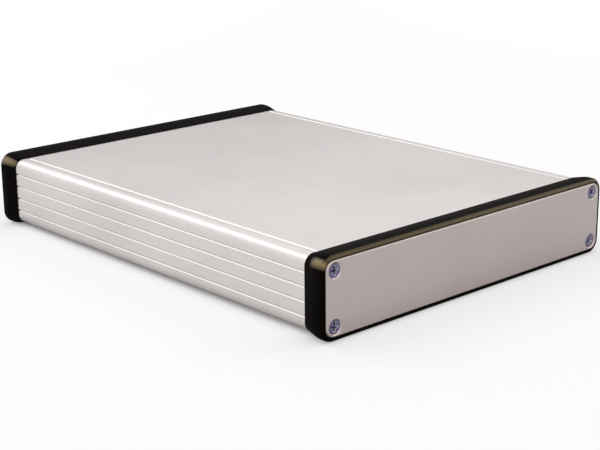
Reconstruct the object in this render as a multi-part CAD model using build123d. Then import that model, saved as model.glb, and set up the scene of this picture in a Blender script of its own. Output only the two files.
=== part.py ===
from build123d import *
from math import acos, degrees, sin
import os

# A flat instrument case: an extruded aluminium channel with a slide-in cover, closed at each end
# by a moulded bezel, a sheet panel and four countersunk screws.
# X runs along the extrusion with the front end at +X, Y runs across it and Z is up.
# The origin is at the centre of the footprint, on the surface that the two bezels stand on.
# All sizes are in millimetres.

# Extruded channel: outer section and walls
case_length = 220.0
case_width = 165.0
case_height = 30.5
corner_radius = 4.2
side_wall = 1.8
floor_thickness = 1.6
inner_radius = 0.4

# Decorative V-grooves along both sides
groove_count = 4
groove_pitch = 5.9
groove_depth = 0.5

# Card guides inside both side walls
card_thickness = 1.6
card_clearance = 0.1
guide_slots = 3
guide_pitch = 5.3
guide_rib = 1.0
guide_reach = 2.2

# Slide-in cover and the lips that hold it
lip_width = 7.0
cover_thickness = 1.8
tongue_thickness = 0.9
tongue_reach = 1.2
seam_gap = 0.3
seam_bevel = 0.4
slide_clearance = 0.1
shelf_thickness = 1.1
shelf_reach = 2.0

# Countersunk screws, and the places of their axes
screw_side_inset = 4.6
screw_top_inset = 4.15
shank_radius = 1.45
screw_length = 12.0
screw_point = 1.9
head_radius = 3.0
head_sink = 0.4
recess_span = 4.0
recess_width = 1.0
recess_depth = 1.3
recess_floor = 0.6

# Open screw ports in the channel's four corners
port_clearance = 0.05
port_wall = 1.6
port_mouth = 1.4

# End panels
panel_thickness = 1.5
panel_bevel = 0.6
hole_clearance = 0.55

# Moulded bezels
bezel_overlap = 9.0
bezel_edge = 0.25
bezel_swell = 1.9
bezel_blend_radius = 10.0
bezel_land = 1.8
bezel_nose_radius = 3.6
bezel_setback = 0.2
bezel_clearance = 0.1
flange_thickness = 1.0
flange_width = 2.4
flange_pad = 2.0

# Radii that follow from the screws
port_bore_radius = shank_radius + port_clearance
port_radius = port_bore_radius + port_wall
screw_hole_radius = shank_radius + hole_clearance
pad_radius = screw_hole_radius + flange_pad

# Stations along X at the front end, and the height of the case's centreline
axis_height = bezel_swell + case_height / 2
case_end = case_length / 2
bezel_back = case_end - bezel_overlap
panel_back = case_end + flange_thickness
panel_face = panel_back + panel_thickness
screw_top = panel_face - head_sink

# The nose of the bezel curves inwards until it meets the panel's opening
nose_angle = acos(1 - (bezel_swell - bezel_clearance) / bezel_nose_radius)
land_end = panel_face - bezel_setback - bezel_nose_radius * sin(nose_angle)
land_start = land_end - bezel_land

# The cover's width, and heights in the section measured from the case's centreline
mouth_width = case_width - 2 * lip_width
cover_width = mouth_width - 2 * seam_gap
roof = case_height / 2
seat = roof - cover_thickness - slide_clearance
shelf_underside = seat - shelf_thickness
inner_floor = floor_thickness - case_height / 2


def section_plane(x):
    """The plane across the case at station x, with Y to the right and Z up."""
    return Plane(origin=(x, 0, axis_height), x_dir=(0, 1, 0), z_dir=(1, 0, 0))


def slab(width, bottom, top):
    """A rectangle centred on the case, from one height to another."""
    return Pos(0, (bottom + top) / 2) * Rectangle(width, top - bottom)


def outline(offset=0.0):
    """The case's outer section, grown by an offset."""
    return RectangleRounded(
        case_width + 2 * offset,
        case_height + 2 * offset,
        corner_radius + offset,
    )


def screw_spots():
    """The four screw axes as places in the section."""
    return GridLocations(
        case_width - 2 * screw_side_inset,
        case_height - 2 * screw_top_inset,
        2,
        2,
    )


def card_guides():
    """Pairs of ribs on both side walls that hold the edges of a circuit card."""
    rib_length = guide_reach + inner_radius
    rib_centre = case_width / 2 - side_wall - guide_reach + rib_length / 2
    slots = GridLocations(2 * rib_centre, guide_pitch, 2, guide_slots)
    pair = GridLocations(0, card_thickness + 2 * card_clearance + guide_rib, 1, 2)
    return [slot * side * Rectangle(rib_length, guide_rib) for slot in slots for side in pair]


def screw_ports():
    """Solid corners that carry the screw bores."""
    corners = GridLocations(case_width - screw_side_inset, case_height - screw_top_inset, 2, 2)
    corner = Rectangle(screw_side_inset, screw_top_inset)
    return screw_spots() * Circle(port_radius) + corners * corner


def port_bores():
    """Open bores for the screws, each with a slanted mouth towards the middle of the section."""
    mouth = Pos(port_radius, 0) * Rectangle(2 * port_radius, port_mouth)
    cuts = screw_spots() * Circle(port_bore_radius)
    for spot in screw_spots():
        to_centre = 0 if spot.position.X < 0 else 180
        slant = 45 if spot.position.X * spot.position.Y > 0 else -45
        cuts += spot * Rot(0, 0, to_centre + slant) * mouth
    return cuts


def make_channel():
    """The U-shaped extrusion with lips, card guides, screw ports and side grooves."""
    hollow = slab(case_width - 2 * side_wall, inner_floor, shelf_underside)
    hollow = fillet(hollow.vertices(), inner_radius)
    hollow -= card_guides()
    hollow -= screw_ports()

    tongue_width = cover_width + 2 * (tongue_reach + slide_clearance)
    tongue_top = seat + tongue_thickness + 2 * slide_clearance
    mouth = slab(mouth_width, seat, roof + seam_bevel)
    mouth += slab(tongue_width, seat, tongue_top)
    mouth += slab(cover_width - 2 * shelf_reach, shelf_underside - inner_radius, seat)
    mouth += Pos(0, roof) * GridLocations(mouth_width, 0, 2, 1) * RegularPolygon(seam_bevel, 4)

    grooves = GridLocations(case_width, groove_pitch, 2, groove_count) * RegularPolygon(groove_depth, 4)
    section = outline() - hollow - mouth - port_bores() - grooves
    return extrude(section_plane(-case_end) * section, case_length)


def make_cover():
    """The flat cover, with a tongue along each side that runs in the channel's lips."""
    underside = roof - cover_thickness
    section = slab(cover_width, underside, roof)
    section += slab(cover_width + 2 * tongue_reach, underside, underside + tongue_thickness)
    section -= Pos(0, roof) * GridLocations(cover_width, 0, 2, 1) * RegularPolygon(seam_bevel, 4)
    return extrude(section_plane(-case_end) * section, case_length)


def bezel_section():
    """The bezel's wall: its first coordinate is the offset from the case's side, its second is X."""
    nose = JernArc((bezel_swell, land_end), (0, 1), bezel_nose_radius, degrees(nose_angle))
    wall = Polyline(
        nose @ 1,
        (bezel_clearance, panel_back),
        (-flange_width, panel_back),
        (-flange_width, case_end),
        (bezel_clearance, case_end),
        (bezel_clearance, bezel_back),
        (bezel_clearance + bezel_edge, bezel_back),
        (bezel_swell, land_start),
        (bezel_swell, land_end),
    )
    section = make_face([nose, wall])
    crease = section.vertices().sort_by_distance((bezel_swell, land_start))[0]
    return fillet(crease, bezel_blend_radius)


def make_bezel():
    """The front bezel: its section swept around the case, and a pad for each screw."""
    path = (section_plane(0) * outline()).wire()
    along = path % 0
    start = Plane(origin=path @ 0, x_dir=along.cross(Vector(1, 0, 0)), z_dir=-along)
    ring = sweep(start * bezel_section(), path=path)
    pads = Sketch() + screw_spots() * Circle(pad_radius)
    holes = Sketch() + screw_spots() * Circle(screw_hole_radius)
    ring += extrude(section_plane(case_end) * (pads & outline()), flange_thickness)
    return ring - extrude(section_plane(case_end) * holes, flange_thickness)


def make_panel():
    """The front panel: a sheet with rounded corners and four countersunk holes."""
    sheet = extrude(section_plane(panel_back) * outline(), panel_thickness)
    sheet = chamfer(sheet.faces().sort_by(Axis.X)[-1].edges(), panel_bevel)
    sink_radius = head_radius + head_sink
    hole = CounterSinkHole(screw_hole_radius, sink_radius, panel_thickness, counter_sink_angle=90)
    return sheet - section_plane(panel_face) * screw_spots() * hole


def make_screw():
    """One countersunk screw, with its head at the origin and its shank along -Z."""
    half = make_face(
        Polyline(
            (0, 0),
            (head_radius, 0),
            (shank_radius, shank_radius - head_radius),
            (shank_radius, screw_point - screw_length),
            (0, -screw_length),
            close=True,
        )
    )
    mouth = Rectangle(recess_span, recess_width) + Rectangle(recess_width, recess_span)
    bottom = Pos(0, 0, -recess_depth) * scale(mouth, recess_floor)
    return revolve(Plane.XZ * half, Axis.Z) - loft([mouth.face(), bottom.face()], ruled=True)


def make_screws():
    """The four front screws, each in its countersink."""
    return Compound(children=section_plane(screw_top) * screw_spots() * make_screw())


def save(name, shape):
    """Writes a sub-part's solids to a STEP file of its name."""
    solids = shape.solids()
    export_step(solids[0] if len(solids) == 1 else Compound(children=solids), f"parts/{name}.step")


os.makedirs("parts", exist_ok=True)
save("channel_body", make_channel())
save("slide_cover", make_cover())
for end_piece, front in {
    "bezel": make_bezel(),
    "panel": make_panel(),
    "screws": make_screws(),
}.items():
    save(f"front_{end_piece}", front)
    save(f"rear_{end_piece}", mirror(front, about=Plane.YZ))
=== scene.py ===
from math import acos, asin, atan2, cos, pi, radians, sin, tan

import bmesh
import bpy
from mathutils import Matrix, Vector


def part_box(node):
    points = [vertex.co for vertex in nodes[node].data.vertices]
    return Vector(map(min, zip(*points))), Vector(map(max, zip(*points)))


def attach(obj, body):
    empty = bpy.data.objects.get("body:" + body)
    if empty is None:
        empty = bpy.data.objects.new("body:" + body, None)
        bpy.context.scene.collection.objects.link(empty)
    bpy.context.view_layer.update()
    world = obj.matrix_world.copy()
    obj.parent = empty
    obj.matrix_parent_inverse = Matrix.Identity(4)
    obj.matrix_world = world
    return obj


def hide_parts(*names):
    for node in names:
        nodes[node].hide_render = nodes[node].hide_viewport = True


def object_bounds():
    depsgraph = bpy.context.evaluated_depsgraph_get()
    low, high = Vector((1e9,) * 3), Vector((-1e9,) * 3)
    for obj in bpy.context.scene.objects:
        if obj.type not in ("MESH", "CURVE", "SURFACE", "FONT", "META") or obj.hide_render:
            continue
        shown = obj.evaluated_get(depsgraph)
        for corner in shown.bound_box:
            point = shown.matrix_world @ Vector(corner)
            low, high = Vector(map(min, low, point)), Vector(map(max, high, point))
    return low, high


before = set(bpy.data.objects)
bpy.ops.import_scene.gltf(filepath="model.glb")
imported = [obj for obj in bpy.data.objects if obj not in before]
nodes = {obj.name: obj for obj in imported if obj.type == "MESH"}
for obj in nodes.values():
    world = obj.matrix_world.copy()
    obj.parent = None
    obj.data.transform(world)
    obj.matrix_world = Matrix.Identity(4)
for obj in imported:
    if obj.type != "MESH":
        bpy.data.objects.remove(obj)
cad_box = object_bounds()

scene = bpy.context.scene

# Lengths are in metres, and MM turns a size in millimetres into metres
MM = 0.001
case_low, case_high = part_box("channel_body")
axis_z = (case_low.z + case_high.z) / 2

# The case's ends with the sign of X, and the signs of Y and Z in its section's quarters, as a
# round trip and in the order that the screws are made
ENDS = (("front", 1), ("rear", -1))
QUARTERS = ((1, 1), (-1, 1), (-1, -1), (1, -1))
SCREW_CORNERS = ((-1, 1), (-1, -1), (1, 1), (1, -1))

# The radius of the CAD screws' heads, in millimetres
HEAD_RADIUS = 3.0


# Camera, at the photo's angle
IMAGE_WIDTH = 600
AZIMUTH = radians(47.828)
ELEVATION = radians(16.673)
ROLL = radians(-0.550)
DISTANCE = 621.24 * MM
FOCAL_PIXELS = 1427.55
SENSOR_WIDTH = 36
TARGET = Vector((32.017, -22.296, 16.9)) * MM


def add_camera():
    camera = bpy.data.objects.new("camera", bpy.data.cameras.new("camera"))
    scene.collection.objects.link(camera)
    back = Vector((sin(AZIMUTH) * cos(ELEVATION), -cos(AZIMUTH) * cos(ELEVATION), sin(ELEVATION)))
    right = Vector((cos(AZIMUTH), sin(AZIMUTH), 0))
    up = back.cross(right)
    turned_right = right * cos(ROLL) + up * sin(ROLL)
    turned_up = up * cos(ROLL) - right * sin(ROLL)
    turn = Matrix((turned_right, turned_up, back)).transposed().to_4x4()
    camera.matrix_world = Matrix.Translation(TARGET + back * DISTANCE) @ turn
    camera.data.sensor_fit = "HORIZONTAL"
    camera.data.sensor_width = SENSOR_WIDTH
    camera.data.lens = SENSOR_WIDTH * FOCAL_PIXELS / IMAGE_WIDTH
    camera.data.clip_start = 0.01
    camera.data.clip_end = 50
    scene.camera = camera


# Node trees
def calculate(tree, operation, *values):
    """A maths node over numbers and other nodes' outputs."""
    node = tree.nodes.new("ShaderNodeMath")
    node.operation = operation
    for socket, value in zip(node.inputs, values):
        if isinstance(value, (int, float)):
            socket.default_value = value
        else:
            tree.links.new(value, socket)
    return node.outputs["Value"]


def carry(tree, value, low, high, start, end):
    """Carries a value from start..end to low..high, and no further."""
    node = tree.nodes.new("ShaderNodeMapRange")
    for key, number in (("From Min", start), ("From Max", end), ("To Min", low), ("To Max", high)):
        node.inputs[key].default_value = number
    tree.links.new(value, node.inputs["Value"])
    return node.outputs["Result"]


def light_path(tree):
    """Whether a surface is seen straight by the camera, and whether it is mirrored or seen through."""
    path = tree.nodes.new("ShaderNodeLightPath").outputs
    bounced = calculate(tree, "MAXIMUM", path["Is Glossy Ray"], path["Is Transmission Ray"])
    return path["Is Camera Ray"], bounced


class Tree:
    """A short way to write a material's node tree."""

    def __init__(self, name):
        self.material = bpy.data.materials.new(name)
        self.material.use_nodes = True
        self.tree = self.material.node_tree
        self.tree.nodes.clear()
        self.output = self.add("ShaderNodeOutputMaterial")
        self.shader = self.add("ShaderNodeBsdfPrincipled")
        self.link(self.shader.outputs["BSDF"], self.output.inputs["Surface"])
        self.coord = self.add("ShaderNodeTexCoord").outputs["Object"]

    def add(self, kind, **values):
        node = self.tree.nodes.new(kind)
        for key, value in values.items():
            if hasattr(node, key):
                setattr(node, key, value)
            else:
                node.inputs[key].default_value = value
        return node

    def link(self, start, end):
        self.tree.links.new(start, end)

    def place(self):
        """The object coordinates' X, Y and Z, in metres."""
        node = self.add("ShaderNodeSeparateXYZ")
        self.link(self.coord, node.inputs["Vector"])
        return [node.outputs[axis] for axis in "XYZ"]

    def scaled(self, scale):
        """Object coordinates in metres, multiplied by one number or by one for each axis."""
        mapping = self.add("ShaderNodeMapping", vector_type="POINT")
        mapping.inputs["Scale"].default_value = [scale] * 3 if isinstance(scale, float) else scale
        self.link(self.coord, mapping.inputs["Vector"])
        return mapping.outputs["Vector"]

    def noise(self, scale, detail=2.0, roughness=0.5):
        """A noise whose grain is 1 / scale metres."""
        node = self.add("ShaderNodeTexNoise", Scale=1.0, Detail=detail, Roughness=roughness)
        self.link(self.scaled(scale), node.inputs["Vector"])
        return node.outputs["Fac"]

    def span(self, value, low, high, start=0.3, end=0.7):
        """Carries a value from start..end, which is where a noise varies, to low..high."""
        return carry(self.tree, value, low, high, start, end)

    def math(self, operation, *values):
        return calculate(self.tree, operation, *values)

    def hypotenuse(self, first, second):
        squares = [self.math("POWER", side, 2) for side in (first, second)]
        return self.math("SQRT", self.math("ADD", *squares))

    def colours(self, factor, stops):
        """A colour ramp over factor, from pairs of position and colour."""
        ramp = self.add("ShaderNodeValToRGB")
        elements = ramp.color_ramp.elements
        while len(elements) < len(stops):
            elements.new(0.5)
        for element, (position, colour) in zip(elements, stops):
            element.position = position
            element.color = (*colour, 1)
        self.link(factor, ramp.inputs["Fac"])
        return ramp.outputs["Color"]

    def mixed(self, first, second, factor):
        """Blends a colour output towards a fixed colour."""
        node = self.add("ShaderNodeMix", data_type="RGBA")
        self.link(factor, node.inputs["Factor"])
        self.link(first, node.inputs["A"])
        node.inputs["B"].default_value = (*second, 1)
        return node.outputs["Result"]

    def bump(self, height, distance, strength, after=None):
        node = self.add("ShaderNodeBump", Strength=strength, Distance=distance)
        self.link(height, node.inputs["Height"])
        if after:
            self.link(after, node.inputs["Normal"])
        return node.outputs["Normal"]

    def wire(self, **sockets):
        """Links outputs to the shader's sockets, whose names have an underscore for each space."""
        for name, output in sockets.items():
            self.link(output, self.shader.inputs[name.replace("_", " ")])


def shaded(colour, factor):
    return tuple(channel * factor for channel in colour)


# Anodised aluminium, with its noises' grains as repeats in a metre
CROSS_LINES, LONG_LINES = 2600.0, 9.0
METAL_CLOUDS, METAL_GRAIN = 22.0, 3400.0
SATIN_ROUGHNESS, ROUGHNESS_SWING = 0.42, 0.05


def anodised(name, colour, line_axis):
    """Satin anodised aluminium: etched grain, and faint lines along the way it was drawn or rolled."""
    tree = Tree(name)
    tree.shader.inputs["Metallic"].default_value = 1.0
    lines = [CROSS_LINES] * 3
    lines[line_axis] = LONG_LINES
    streaks = tree.noise(lines, detail=3.0, roughness=0.6)
    clouds = tree.noise(METAL_CLOUDS, detail=3.0)
    grain = tree.noise(METAL_GRAIN)
    tone = tree.math("ADD", tree.math("MULTIPLY", clouds, 0.45), tree.math("MULTIPLY", streaks, 0.25))
    tone = tree.math("ADD", tone, tree.math("MULTIPLY", grain, 0.30))
    dark, light = shaded(colour, 0.93), shaded(colour, 1.06)
    base = tree.colours(tone, ((0.34, dark), (0.50, colour), (0.66, light)))
    rough = tree.span(grain, SATIN_ROUGHNESS - ROUGHNESS_SWING, SATIN_ROUGHNESS + ROUGHNESS_SWING)
    normal = tree.bump(grain, 0.012 * MM, 0.5)
    normal = tree.bump(streaks, 0.008 * MM, 0.35, after=normal)
    tree.wire(Base_Color=base, Roughness=rough, Normal=normal)
    return tree.material


# Moulded plastic, with its noises' grains as repeats in a metre
PLASTIC_CELLS, PLASTIC_GRAIN, PLASTIC_CLOUDS = 2300.0, 1500.0, 60.0
PLASTIC_IOR = 1.60
# A painted warm colour on every reflection of the bezels
BROWN_SHEEN = (1.0, 0.78, 0.38)
SHEEN_LEVELS = (0.012, 2.30)
SHEEN_SMOOTHING = 0.13

# Where the bezels get a painted sheen, highlights put where light from above falls: spans of height, spans
# of distance along X from the case's middle, and the upper corners' place, as a distance along Y and a
# height, with its reach
SHEEN_HEIGHT = (30.5 * MM, 33.0 * MM)
NOSE_START = (111.0 * MM, 112.1 * MM)
# Where the nose meets the panel its painted sheen drops away, a painted shade line
NOSE_END = (112.22 * MM, 112.28 * MM)
NOSE_SHEEN, NOSE_FALL = 1.15, (0.68, 0.10)
CORNER_START = (104.0 * MM, 107.5 * MM)
CORNER_PLACE = (83.2 * MM, 31.4 * MM)
CORNER_REACH = 2.3 * MM
MOST_SHEEN = 2.0


def painted_sheen_mask(tree):
    """How strong the bezels' painted sheen is, from none to its most: painted highlights on their upper
    noses and corners, with a painted shade line where the nose meets the panel.
    """
    x, y, height = tree.place()
    along = tree.math("ABSOLUTE", x)
    across = tree.math("ABSOLUTE", y)
    upper = tree.span(height, 0, 1, *SHEEN_HEIGHT)
    nose = tree.math("MULTIPLY", upper, tree.span(along, 0, NOSE_SHEEN, *NOSE_START))
    nose = tree.math("MULTIPLY", nose, tree.span(along, *NOSE_FALL, *NOSE_END))
    aside = tree.math("SUBTRACT", across, CORNER_PLACE[0])
    above = tree.math("SUBTRACT", height, CORNER_PLACE[1])
    corner = tree.span(tree.hypotenuse(aside, above), MOST_SHEEN, 0, 0, CORNER_REACH)
    front = tree.span(x, 0, 1, *CORNER_START)
    rear = tree.math("LESS_THAN", x, 0)
    corner = tree.math("MULTIPLY", corner, tree.math("MAXIMUM", front, rear))
    return tree.math("MAXIMUM", nose, corner)


def moulded(name, colour):
    """Black moulded plastic with a fine spark-eroded texture."""
    tree = Tree(name)
    tree.shader.inputs["IOR"].default_value = PLASTIC_IOR
    tree.shader.inputs["Specular Tint"].default_value = (*BROWN_SHEEN, 1)
    cells = tree.add("ShaderNodeTexVoronoi", feature="SMOOTH_F1", Scale=1.0)
    tree.link(tree.scaled(PLASTIC_CELLS), cells.inputs["Vector"])
    grain = tree.noise(PLASTIC_GRAIN, detail=4.0, roughness=0.6)
    clouds = tree.noise(PLASTIC_CLOUDS, detail=3.0)
    base = tree.colours(clouds, ((0.35, shaded(colour, 0.8)), (0.65, shaded(colour, 1.25))))
    # The painted sheen raises the reflection and smooths the surface where painted highlights go
    painted_sheen = painted_sheen_mask(tree)
    level = tree.span(painted_sheen, *SHEEN_LEVELS, 0, MOST_SHEEN)
    rough = tree.math("SUBTRACT", tree.span(clouds, 0.50, 0.58), tree.math("MULTIPLY", painted_sheen, SHEEN_SMOOTHING))
    normal = tree.bump(tree.math("ADD", cells.outputs["Distance"], grain), 0.03 * MM, 0.55)
    tree.wire(Base_Color=base, Roughness=rough, Normal=normal, Specular_IOR_Level=level)
    return tree.material


# Zinc plate, with places on the screw heads as spans of radius and of depth below the top
RIM = (2.56 * MM, 2.64 * MM)
RECESS_EDGE = (2.0 * MM, 2.1 * MM)
RECESS_TOP = (0.02 * MM, 0.06 * MM)
RECESS_SHADE = (0.4 * MM, 1.0 * MM)
BLUE_TINT = (0.16, 0.15, 0.26)
# Painted shade round the heads' rims, and a painted glint colour where the recesses open
RIM_SHADE_COLOUR = (0.10, 0.085, 0.11)
ZINC_GLINT_COLOUR = (0.36, 0.35, 0.41)
ZINC_CLOUDS, ZINC_GRAIN = 420.0, 5200.0


def zinc(name, colour):
    """Zinc plate with a blue passivate, with painted shade round the heads' rims and painted glints in the
    recesses' mouths.
    """
    tree = Tree(name)
    tree.shader.inputs["Metallic"].default_value = 1.0
    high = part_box("front_screws")[1]
    x, y, z = tree.place()
    offsets = []
    for value, middle, reach in ((y, 0, high.y), (z, axis_z, high.z - axis_z)):
        offset = tree.math("ABSOLUTE", tree.math("SUBTRACT", value, middle))
        offsets.append(tree.math("SUBTRACT", offset, reach - HEAD_RADIUS * MM))
    radius = tree.hypotenuse(*offsets)
    depth = tree.math("SUBTRACT", high.x, tree.math("ABSOLUTE", x))
    below = tree.span(depth, 0, 1, *RECESS_TOP)
    inner = tree.math("MULTIPLY", below, tree.span(radius, 1, 0, *RECESS_EDGE))
    shallow = tree.span(depth, 1, 0, *RECESS_SHADE)
    grain = tree.noise(ZINC_GRAIN)
    tone = tree.math("ADD", tree.noise(ZINC_CLOUDS, detail=3.0), tree.span(grain, -0.08, 0.08))
    face = tree.colours(tone, ((0.36, shaded(colour, 0.80)), (0.50, colour), (0.64, BLUE_TINT)))
    # Painted shade at the rims, then painted glints in the recesses' mouths
    glint_and_shade = tree.mixed(face, RIM_SHADE_COLOUR, tree.span(radius, 0, 1, *RIM))
    glint_and_shade = tree.mixed(glint_and_shade, ZINC_GLINT_COLOUR, tree.math("MULTIPLY", inner, shallow))
    rough = tree.span(grain, 0.20, 0.34)
    tree.wire(Base_Color=glint_and_shade, Roughness=rough, Normal=tree.bump(grain, 0.01 * MM, 0.5))
    return tree.material


def dress(node, material):
    """Puts a material into every slot of a CAD node."""
    mesh = nodes[node].data
    for index in range(len(mesh.materials)):
        mesh.materials[index] = material


# Meshes
SHARP_ANGLE = radians(32)


def millimetres(length):
    """A length of the frame's in millimetres, to the nearest thousandth."""
    return round(length / MM, 3)


def full_turn(count):
    """Equal angles round a circle."""
    return [2 * pi * index / count for index in range(count)]


def add_loop(mesh, points):
    return [mesh.verts.new(point) for point in points]


def join_loops(mesh, first, second):
    """A band of faces between two loops with as many points."""
    count = len(first)
    for index in range(count):
        after = (index + 1) % count
        mesh.faces.new((first[index], first[after], second[after], second[index]))


def add_piece(name, mesh, material, node, body):
    """Makes a mesh into a smooth piece that stands for a CAD node."""
    data = bpy.data.meshes.new(name)
    mesh.to_mesh(data)
    mesh.free()
    data.shade_smooth()
    data.set_sharp_from_angle(angle=SHARP_ANGLE)
    data.materials.append(material)
    piece = bpy.data.objects.new(name, data)
    scene.collection.objects.link(piece)
    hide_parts(node)
    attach(piece, body)


# Bezels, in millimetres: stations along X, and offsets outwards from the case's section. The nose
# is fuller than the solid's and turns right down to the panel, inside the solid's box.
bezel_low, bezel_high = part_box("front_bezel")
CASE_HALF = (millimetres(case_high.y), millimetres(case_high.z - axis_z))
CORNER_RADIUS = 4.2
SKIRT_BACK, NOSE_TIP = millimetres(bezel_low.x), millimetres(bezel_high.x)
FLANGE_BACK, FLANGE_FRONT = millimetres(case_high.x), millimetres(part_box("front_panel")[0].x)
CREASE = 107.38
INNER, SKIRT_EDGE, SWELL = 0.1, 0.35, millimetres(bezel_high.y - case_high.y)
BLEND_RADIUS = 10.0
NOSE_RADIUS = SWELL - INNER
FLANGE_WIDTH = 2.4
SCREW_SPOT = (77.9, 11.1)
PAD_RADIUS, HOLE_RADIUS = 4.0, 2.0
CORNER_STEPS, BLEND_STEPS, NOSE_STEPS, PAD_STEPS, HOLE_STEPS = 14, 6, 10, 24, 24


def wall_profile():
    """The bezel's wall from the flange's back round to its front: pairs of x and offset."""
    profile = [(FLANGE_BACK, INNER), (SKIRT_BACK, INNER), (SKIRT_BACK, SKIRT_EDGE)]
    flare = atan2(SWELL - SKIRT_EDGE, CREASE - SKIRT_BACK)
    blend_end = CREASE + BLEND_RADIUS * tan(flare / 2)
    for step in range(BLEND_STEPS + 1):
        angle = flare * (1 - step / BLEND_STEPS)
        profile.append((blend_end - BLEND_RADIUS * sin(angle), SWELL - BLEND_RADIUS * (1 - cos(angle))))
    for step in range(NOSE_STEPS + 1):
        angle = step / NOSE_STEPS * pi / 2
        along = NOSE_TIP - NOSE_RADIUS * (1 - sin(angle))
        profile.append((along, SWELL - NOSE_RADIUS * (1 - cos(angle))))
    profile.append((FLANGE_FRONT, INNER))
    return profile


def outline_loop(x, offset):
    """The case's rounded outline at one x, grown by an offset."""
    points = []
    radius = CORNER_RADIUS + offset
    for quarter, (side, level) in enumerate(QUARTERS):
        for step in range(CORNER_STEPS + 1):
            turn = (quarter + step / CORNER_STEPS) * pi / 2
            across = side * (CASE_HALF[0] - CORNER_RADIUS) + radius * cos(turn)
            above = level * (CASE_HALF[1] - CORNER_RADIUS) + radius * sin(turn)
            points.append((x, across, above))
    return points


def flange_loop(x):
    """The flange's inner edge, which swings round a pad at each screw."""
    first = -acos((CASE_HALF[0] - FLANGE_WIDTH - SCREW_SPOT[0]) / PAD_RADIUS)
    last = -asin((CASE_HALF[1] - FLANGE_WIDTH - SCREW_SPOT[1]) / PAD_RADIUS) - pi
    arc = []
    for step in range(PAD_STEPS + 1):
        turn = first + (last - first) * step / PAD_STEPS
        arc.append((SCREW_SPOT[0] + PAD_RADIUS * cos(turn), SCREW_SPOT[1] + PAD_RADIUS * sin(turn)))
    loop = []
    for side, level in QUARTERS:
        ordered = arc if side == level else arc[::-1]
        loop += [(x, side * across, level * above) for across, above in ordered]
    return loop


def hole_loop(x, side, level):
    """The edge of the hole for one screw."""
    across, above = side * SCREW_SPOT[0], level * SCREW_SPOT[1]
    turns = full_turn(HOLE_STEPS)
    return [(x, across + HOLE_RADIUS * cos(turn), above + HOLE_RADIUS * sin(turn)) for turn in turns]


def add_bezel(end, sign, material):
    """A moulded bezel: its wall swept round the case, a flange with four pads, and the screw holes."""
    mesh = bmesh.new()
    rings = [add_loop(mesh, outline_loop(x, offset)) for x, offset in wall_profile()]
    for first, second in zip(rings, rings[1:]):
        join_loops(mesh, first, second)
    inside = []
    for x, wall in ((FLANGE_BACK, rings[0]), (FLANGE_FRONT, rings[-1])):
        loops = [add_loop(mesh, flange_loop(x))]
        loops += [add_loop(mesh, hole_loop(x, *corner)) for corner in SCREW_CORNERS]
        inside.append(loops)
        edges = []
        for loop in [wall] + loops:
            for start, stop in zip(loop, loop[1:] + loop[:1]):
                edges.append(mesh.edges.get((start, stop)) or mesh.edges.new((start, stop)))
        bmesh.ops.triangle_fill(mesh, use_beauty=True, edges=edges, normal=(1, 0, 0))
    for back, front in zip(*inside):
        join_loops(mesh, back, front)
    bmesh.ops.recalc_face_normals(mesh, faces=mesh.faces)
    place = Matrix.Translation((0, 0, axis_z)) @ Matrix.Diagonal((sign * MM, MM, MM, 1))
    mesh.transform(place)
    if sign < 0:
        bmesh.ops.reverse_faces(mesh, faces=mesh.faces)
    add_piece(f"{end}_bezel_moulded", mesh, material, f"{end}_bezel", f"{end}_end")


# Screws, in millimetres
SCREW_LENGTH = 12.0
CORE_RADIUS = 1.04
THREAD_RADIUS = 1.45
THREAD_PITCH = 1.06
RIDGE_SHARE = 0.34
TIP_LENGTH = 1.9
THREAD_RISE, THREAD_FALL = 0.9, TIP_LENGTH + 0.5
AROUND = 40
ROWS_PER_TURN = 8
WELD, LEVEL = 0.002, 1e-6

# The head's rim as pairs of radius and depth
HEAD_EDGE = ((2.58, 0.0), (2.68, 0.02), (2.80, 0.07), (2.87, 0.13))

# The cross recess at six depths: its span, its arms' width, its inner corners' radius and the depth
RECESS = (
    (4.12, 1.36, 0.12, 0.0),
    (4.02, 1.26, 0.14, 0.04),
    (3.56, 0.92, 0.26, 0.30),
    (2.90, 0.84, 0.24, 0.80),
    (1.80, 0.66, 0.18, 1.22),
    (1.10, 0.50, 0.10, 1.38),
)
RECESS_STEPS = 4
ARM_TAPER, ARM_BULGE = 0.8, 0.08


def cross_loop(span, width, corner, depth):
    """The outline of a cross recess at one depth, with rounded inner corners."""
    half, reach = width / 2, span / 2
    points = []
    for quarter in range(4):
        turn = Matrix.Rotation(quarter * pi / 2, 3, "Z")
        side = [(reach, -half * ARM_TAPER), (reach + ARM_BULGE, 0.0), (reach, half * ARM_TAPER)]
        for step in range(RECESS_STEPS + 1):
            angle = -pi / 2 - step / RECESS_STEPS * pi / 2
            side.append((half + corner + corner * cos(angle), half + corner + corner * sin(angle)))
        points += [turn @ Vector((x, y, -depth)) for x, y in side]
    return points


def ring(radius, depth):
    return [Vector((radius * cos(turn), radius * sin(turn), -depth)) for turn in full_turn(AROUND)]


def thread_radius(depth, phase):
    """The screw's radius at a depth, where phase runs from 0 to 1 along each turn of the thread."""
    start = HEAD_RADIUS - CORE_RADIUS
    left = SCREW_LENGTH - depth
    core = CORE_RADIUS * min(1, left / TIP_LENGTH)
    grown = min(1, max(0, (depth - start) / THREAD_RISE), max(0, left / THREAD_FALL))
    ridge = max(0, 1 - abs(phase - 0.5) / RIDGE_SHARE)
    return core + (THREAD_RADIUS - CORE_RADIUS) * grown * ridge


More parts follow.
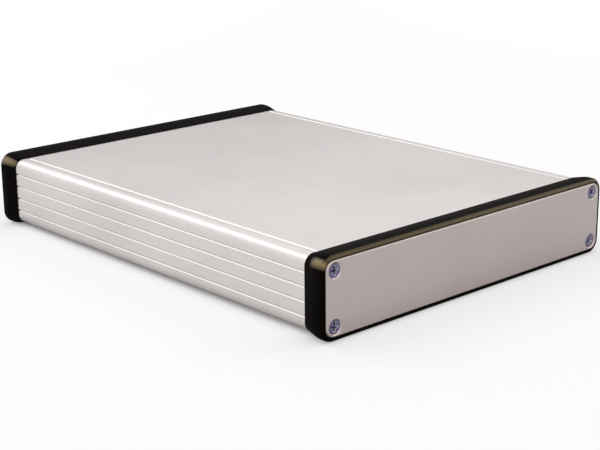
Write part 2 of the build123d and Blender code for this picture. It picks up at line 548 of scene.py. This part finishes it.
def add_thread(mesh, start):
    """A right-hand thread from a depth to the screw's point, in rows that follow the helix."""
    turns = int((SCREW_LENGTH - start) / THREAD_PITCH) + 2
    first_row, last_row = -ROWS_PER_TURN, turns * ROWS_PER_TURN
    columns = []
    for column in range(AROUND + 1):
        rows = []
        for row in range(first_row, last_row + 1):
            travel = (row + ROWS_PER_TURN * (1 - column / AROUND)) / ROWS_PER_TURN
            depth = min(max(start + travel * THREAD_PITCH, start), SCREW_LENGTH)
            radius = thread_radius(depth, (row % ROWS_PER_TURN) / ROWS_PER_TURN)
            turn = 2 * pi * column / AROUND
            rows.append(mesh.verts.new((radius * cos(turn), radius * sin(turn), -depth)))
        columns.append(rows)
    for near, far in zip(columns, columns[1:]):
        for row in range(len(near) - 1):
            mesh.faces.new((near[row], near[row + 1], far[row + 1], far[row]))


def add_screw(mesh, place):
    """One countersunk screw with a cross recess and its head's top at the origin, then put in place."""
    part = bmesh.new()
    start = HEAD_RADIUS - CORE_RADIUS
    loops = [add_loop(part, cross_loop(*row)) for row in RECESS]
    for first, second in zip(loops, loops[1:]):
        join_loops(part, second, first)
    part.faces.new(loops[-1])
    outside = [add_loop(part, ring(radius, depth)) for radius, depth in HEAD_EDGE]
    outside.append(add_loop(part, ring(CORE_RADIUS, start)))
    for first, second in zip(outside, outside[1:]):
        join_loops(part, second, first)
    rims = [edge for edge in part.edges if all(v.co.z > -LEVEL for v in edge.verts)]
    bmesh.ops.triangle_fill(part, use_beauty=True, edges=rims, normal=(0, 0, 1))
    add_thread(part, start)
    bmesh.ops.remove_doubles(part, verts=part.verts, dist=WELD)
    bmesh.ops.dissolve_degenerate(part, edges=part.edges, dist=WELD)
    bmesh.ops.recalc_face_normals(part, faces=part.faces)
    part.transform(place @ Matrix.Diagonal((MM, MM, MM, 1)))
    alone = bpy.data.meshes.new("screw")
    part.to_mesh(alone)
    part.free()
    mesh.from_mesh(alone)
    bpy.data.meshes.remove(alone)


def add_screws(end, sign, turns, material):
    """An end's four screws on their CAD axes, each turned by its own angle."""
    low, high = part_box(f"{end}_screws")
    across = high.y - HEAD_RADIUS * MM
    above = high.z - axis_z - HEAD_RADIUS * MM
    top = high.x if sign > 0 else low.x
    facing = Matrix(((0, 0, sign), (sign, 0, 0), (0, 1, 0))).to_4x4()
    mesh = bmesh.new()
    for (side, level), turn in zip(SCREW_CORNERS, turns):
        centre = Vector((top, side * across, axis_z + level * above))
        add_screw(mesh, Matrix.Translation(centre) @ facing @ Matrix.Rotation(radians(turn), 4, "Z"))
    add_piece(f"{end}_screws_threaded", mesh, material, f"{end}_screws", f"{end}_end")


# Stage
LAMP_DISTANCE = 1.1
WHITE = (1, 1, 1)
WARM = (1.0, 0.94, 0.80)
CARD_COLOUR = (0.01, 0.01, 0.013)
FLOOR_COLOUR = (0.90, 0.90, 0.90)
FLOOR_HALF = 6.0

# The floor's own light, and the distances from the case's box over which it rises from none, which leaves
# a painted shadow round and under the case
NEAR_GLOW, NEAR_RISE = 0.38, (-10 * MM, -4 * MM)
FAR_GLOW, FAR_RISE = 0.34, (0.3, 1.5)
MIRRORED_GLOW, MIRRORED_RISE = 0.33, (-6 * MM, 16 * MM)


def area_light(name, direction, size, radiance, colour=WHITE):
    """A soft lamp that looks at the case: its size across and upwards, its radiance and colour."""
    lamp = bpy.data.objects.new(name, bpy.data.lights.new(name, "AREA"))
    scene.collection.objects.link(lamp)
    lamp.data.shape = "RECTANGLE"
    lamp.data.size, lamp.data.size_y = size
    lamp.data.energy = radiance * pi * size[0] * size[1]
    lamp.data.color = colour
    direction = Vector(direction).normalized()
    lamp.location = direction * LAMP_DISTANCE + Vector((0, 0, axis_z))
    across = Vector((1, 0, 0)) - direction * direction.x
    across.normalize()
    lamp.rotation_euler = Matrix((across, direction.cross(across), direction)).transposed().to_euler()
    lamp.visible_camera = False


def add_card(name, towards, distance, width, height):
    """A dark card that stands on the floor out of sight, so that low edges reflect something dark."""
    middle = Vector((towards[0], towards[1], 0)).normalized() * distance
    along = Vector((-middle.y, middle.x, 0)).normalized() * width / 2
    top = Vector((0, 0, height))
    mesh = bpy.data.meshes.new(name)
    corners = (middle - along, middle + along, middle + along + top, middle - along + top)
    mesh.from_pydata(corners, [], [(0, 1, 2, 3)])
    card = bpy.data.objects.new(name, mesh)
    scene.collection.objects.link(card)
    material = bpy.data.materials.new(name)
    material.use_nodes = True
    shader = material.node_tree.nodes["Principled BSDF"]
    shader.inputs["Base Color"].default_value = (*CARD_COLOUR, 1)
    mesh.materials.append(material)
    card.visible_camera = False
    card.visible_diffuse = False
    card.visible_shadow = False


def add_world(level):
    """Even light of the given level; the camera and reflections see plain white."""
    world = bpy.data.worlds.new("world")
    scene.world = world
    world.use_nodes = True
    tree = world.node_tree
    tree.nodes.clear()
    output = tree.nodes.new("ShaderNodeOutputWorld")
    light = tree.nodes.new("ShaderNodeBackground")
    light.inputs["Strength"].default_value = level
    white = tree.nodes.new("ShaderNodeBackground")
    white.inputs["Strength"].default_value = 1.0
    for shader in (light, white):
        shader.inputs["Color"].default_value = (*WHITE, 1)
    mix = tree.nodes.new("ShaderNodeMixShader")
    tree.links.new(calculate(tree, "MAXIMUM", *light_path(tree)), mix.inputs["Fac"])
    tree.links.new(light.outputs[0], mix.inputs[1])
    tree.links.new(white.outputs[0], mix.inputs[2])
    tree.links.new(mix.outputs[0], output.inputs["Surface"])


def add_floor():
    """A pale floor that shows white away from the case and keeps its soft shadow, deepened by a painted
    shadow where its own light fades near and under the case.
    """
    mesh = bpy.data.meshes.new("floor")
    corners = [(side * FLOOR_HALF, level * FLOOR_HALF, 0) for side, level in QUARTERS]
    mesh.from_pydata(corners, [], [(0, 1, 2, 3)])
    floor = bpy.data.objects.new("floor", mesh)
    scene.collection.objects.link(floor)
    material = bpy.data.materials.new("floor")
    material.use_nodes = True
    tree = material.node_tree
    tree.nodes.clear()
    output = tree.nodes.new("ShaderNodeOutputMaterial")
    matt = tree.nodes.new("ShaderNodeBsdfDiffuse")
    matt.inputs["Color"].default_value = (*FLOOR_COLOUR, 1)
    glow = tree.nodes.new("ShaderNodeEmission")
    place = tree.nodes.new("ShaderNodeSeparateXYZ")
    tree.links.new(tree.nodes.new("ShaderNodeTexCoord").outputs["Object"], place.inputs["Vector"])
    beside = calculate(tree, "SUBTRACT", calculate(tree, "ABSOLUTE", place.outputs["X"]), cad_box[1].x)
    before = calculate(tree, "SUBTRACT", calculate(tree, "ABSOLUTE", place.outputs["Y"]), cad_box[1].y)
    outside = calculate(tree, "MAXIMUM", beside, before)
    # Painted shadow: the glow fades towards and under the case, both for the camera and in reflections
    near = carry(tree, outside, 0, NEAR_GLOW, *NEAR_RISE)
    far = carry(tree, outside, 0, FAR_GLOW, *FAR_RISE)
    mirrored = carry(tree, outside, 0, MIRRORED_GLOW, *MIRRORED_RISE)
    straight, bounced = light_path(tree)
    direct = calculate(tree, "MULTIPLY", straight, calculate(tree, "ADD", near, far))
    indirect = calculate(tree, "MULTIPLY", bounced, mirrored)
    tree.links.new(calculate(tree, "MAXIMUM", direct, indirect), glow.inputs["Strength"])
    both = tree.nodes.new("ShaderNodeAddShader")
    tree.links.new(matt.outputs[0], both.inputs[0])
    tree.links.new(glow.outputs[0], both.inputs[1])
    tree.links.new(both.outputs[0], output.inputs["Surface"])
    mesh.materials.append(material)


# Making
add_camera()
scene.view_settings.view_transform = "Standard"

ALUMINIUM = (0.715, 0.676, 0.666)
# The end panels' aluminium, darker than the channel's: partly a darker sheet, partly painted shade on the
# end faces
PANEL_SHADED = (0.482, 0.424, 0.416)
PLASTIC = (0.0042, 0.0032, 0.0028)
# The screws' zinc, darker than bare zinc: partly a blue passivate, partly painted shade for dark
# reflections
ZINC_SHADED = (0.165, 0.15, 0.25)

# The angles that each end's screws are turned to, in degrees
SCREW_TURNS = {"front": (8, -5, 31, -16), "rear": (-12, 24, 3, 40)}

channel_material = anodised("anodised_channel_satin", ALUMINIUM, 0)
cover_material = anodised("anodised_cover_satin", ALUMINIUM, 0)
panel_material = anodised("panel_sheet_satin", PANEL_SHADED, 1)
plastic_material = moulded("bezel_plastic_moulded", PLASTIC)
zinc_material = zinc("zinc_screw_plate", ZINC_SHADED)
dress("channel_body", channel_material)
dress("slide_cover", cover_material)
for end, sign in ENDS:
    dress(f"{end}_panel", panel_material)
    add_bezel(end, sign, plastic_material)
for end, sign in ENDS:
    add_screws(end, sign, SCREW_TURNS[end], zinc_material)

add_world(0.50)
area_light("window", (-0.74, -0.24, 0.62), (0.40, 0.40), 2.0)
area_light("back", (0.38, 0.68, 0.62), (0.40, 0.34), 1.5, WARM)
area_light("left", (-0.36, -0.52, 0.78), (0.50, 0.30), 1.2)
area_light("rear", (-0.45, 0.55, 0.71), (0.50, 0.30), 0.8)
area_light("key", (0.72, -0.18, 0.62), (0.30, 0.60), 1.2)
add_card("card", (-0.80, 0.60), distance=0.55, width=1.1, height=0.16)
add_floor()
